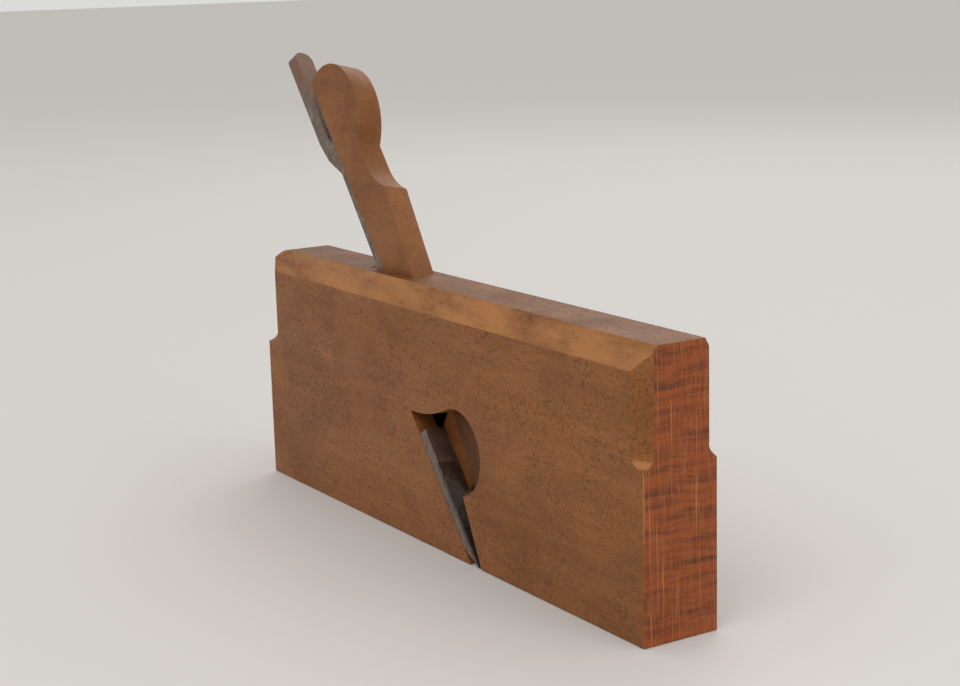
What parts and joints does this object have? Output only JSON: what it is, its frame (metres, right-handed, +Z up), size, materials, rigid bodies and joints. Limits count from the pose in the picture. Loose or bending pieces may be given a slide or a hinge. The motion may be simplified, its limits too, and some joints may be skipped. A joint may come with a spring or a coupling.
{
  "type": "skew_rabbet_plane",
  "caption": "Wooden skew rabbet plane: a narrow beech stock with a round escapement, a skewed full-width iron and a rounded wedge.",
  "frame": {"origin": "centre of the sole", "axes": "+Z up from the sole, +X towards the toe, -Y the side with the large eye, that the shavings leave by"},
  "size_m": [0.241, 0.027, 0.1638],
  "materials": {
    "beech": "satin",
    "wedge_beech": "satin",
    "wrought_iron": "matte",
    "tool_steel": "satin"
  },
  "bodies": {
    "stock": {"stock": "beech"},
    "wedge": {"wedge": "wedge_beech"},
    "iron": {"iron": "wrought_iron", "steel_facing": "tool_steel"}
  },
  "joints": [
    {"name": "wedge_slide", "type": "slide", "parent": "stock", "child": "wedge", "axis": [-0.6225, 0, 0.7826], "range_m": [0, 0.093]},
    {"name": "iron_slide", "type": "slide", "parent": "stock", "child": "iron", "axis": [-0.6225, 0, 0.7826], "range_m": [-0.036, 0.0055]}
  ]
}
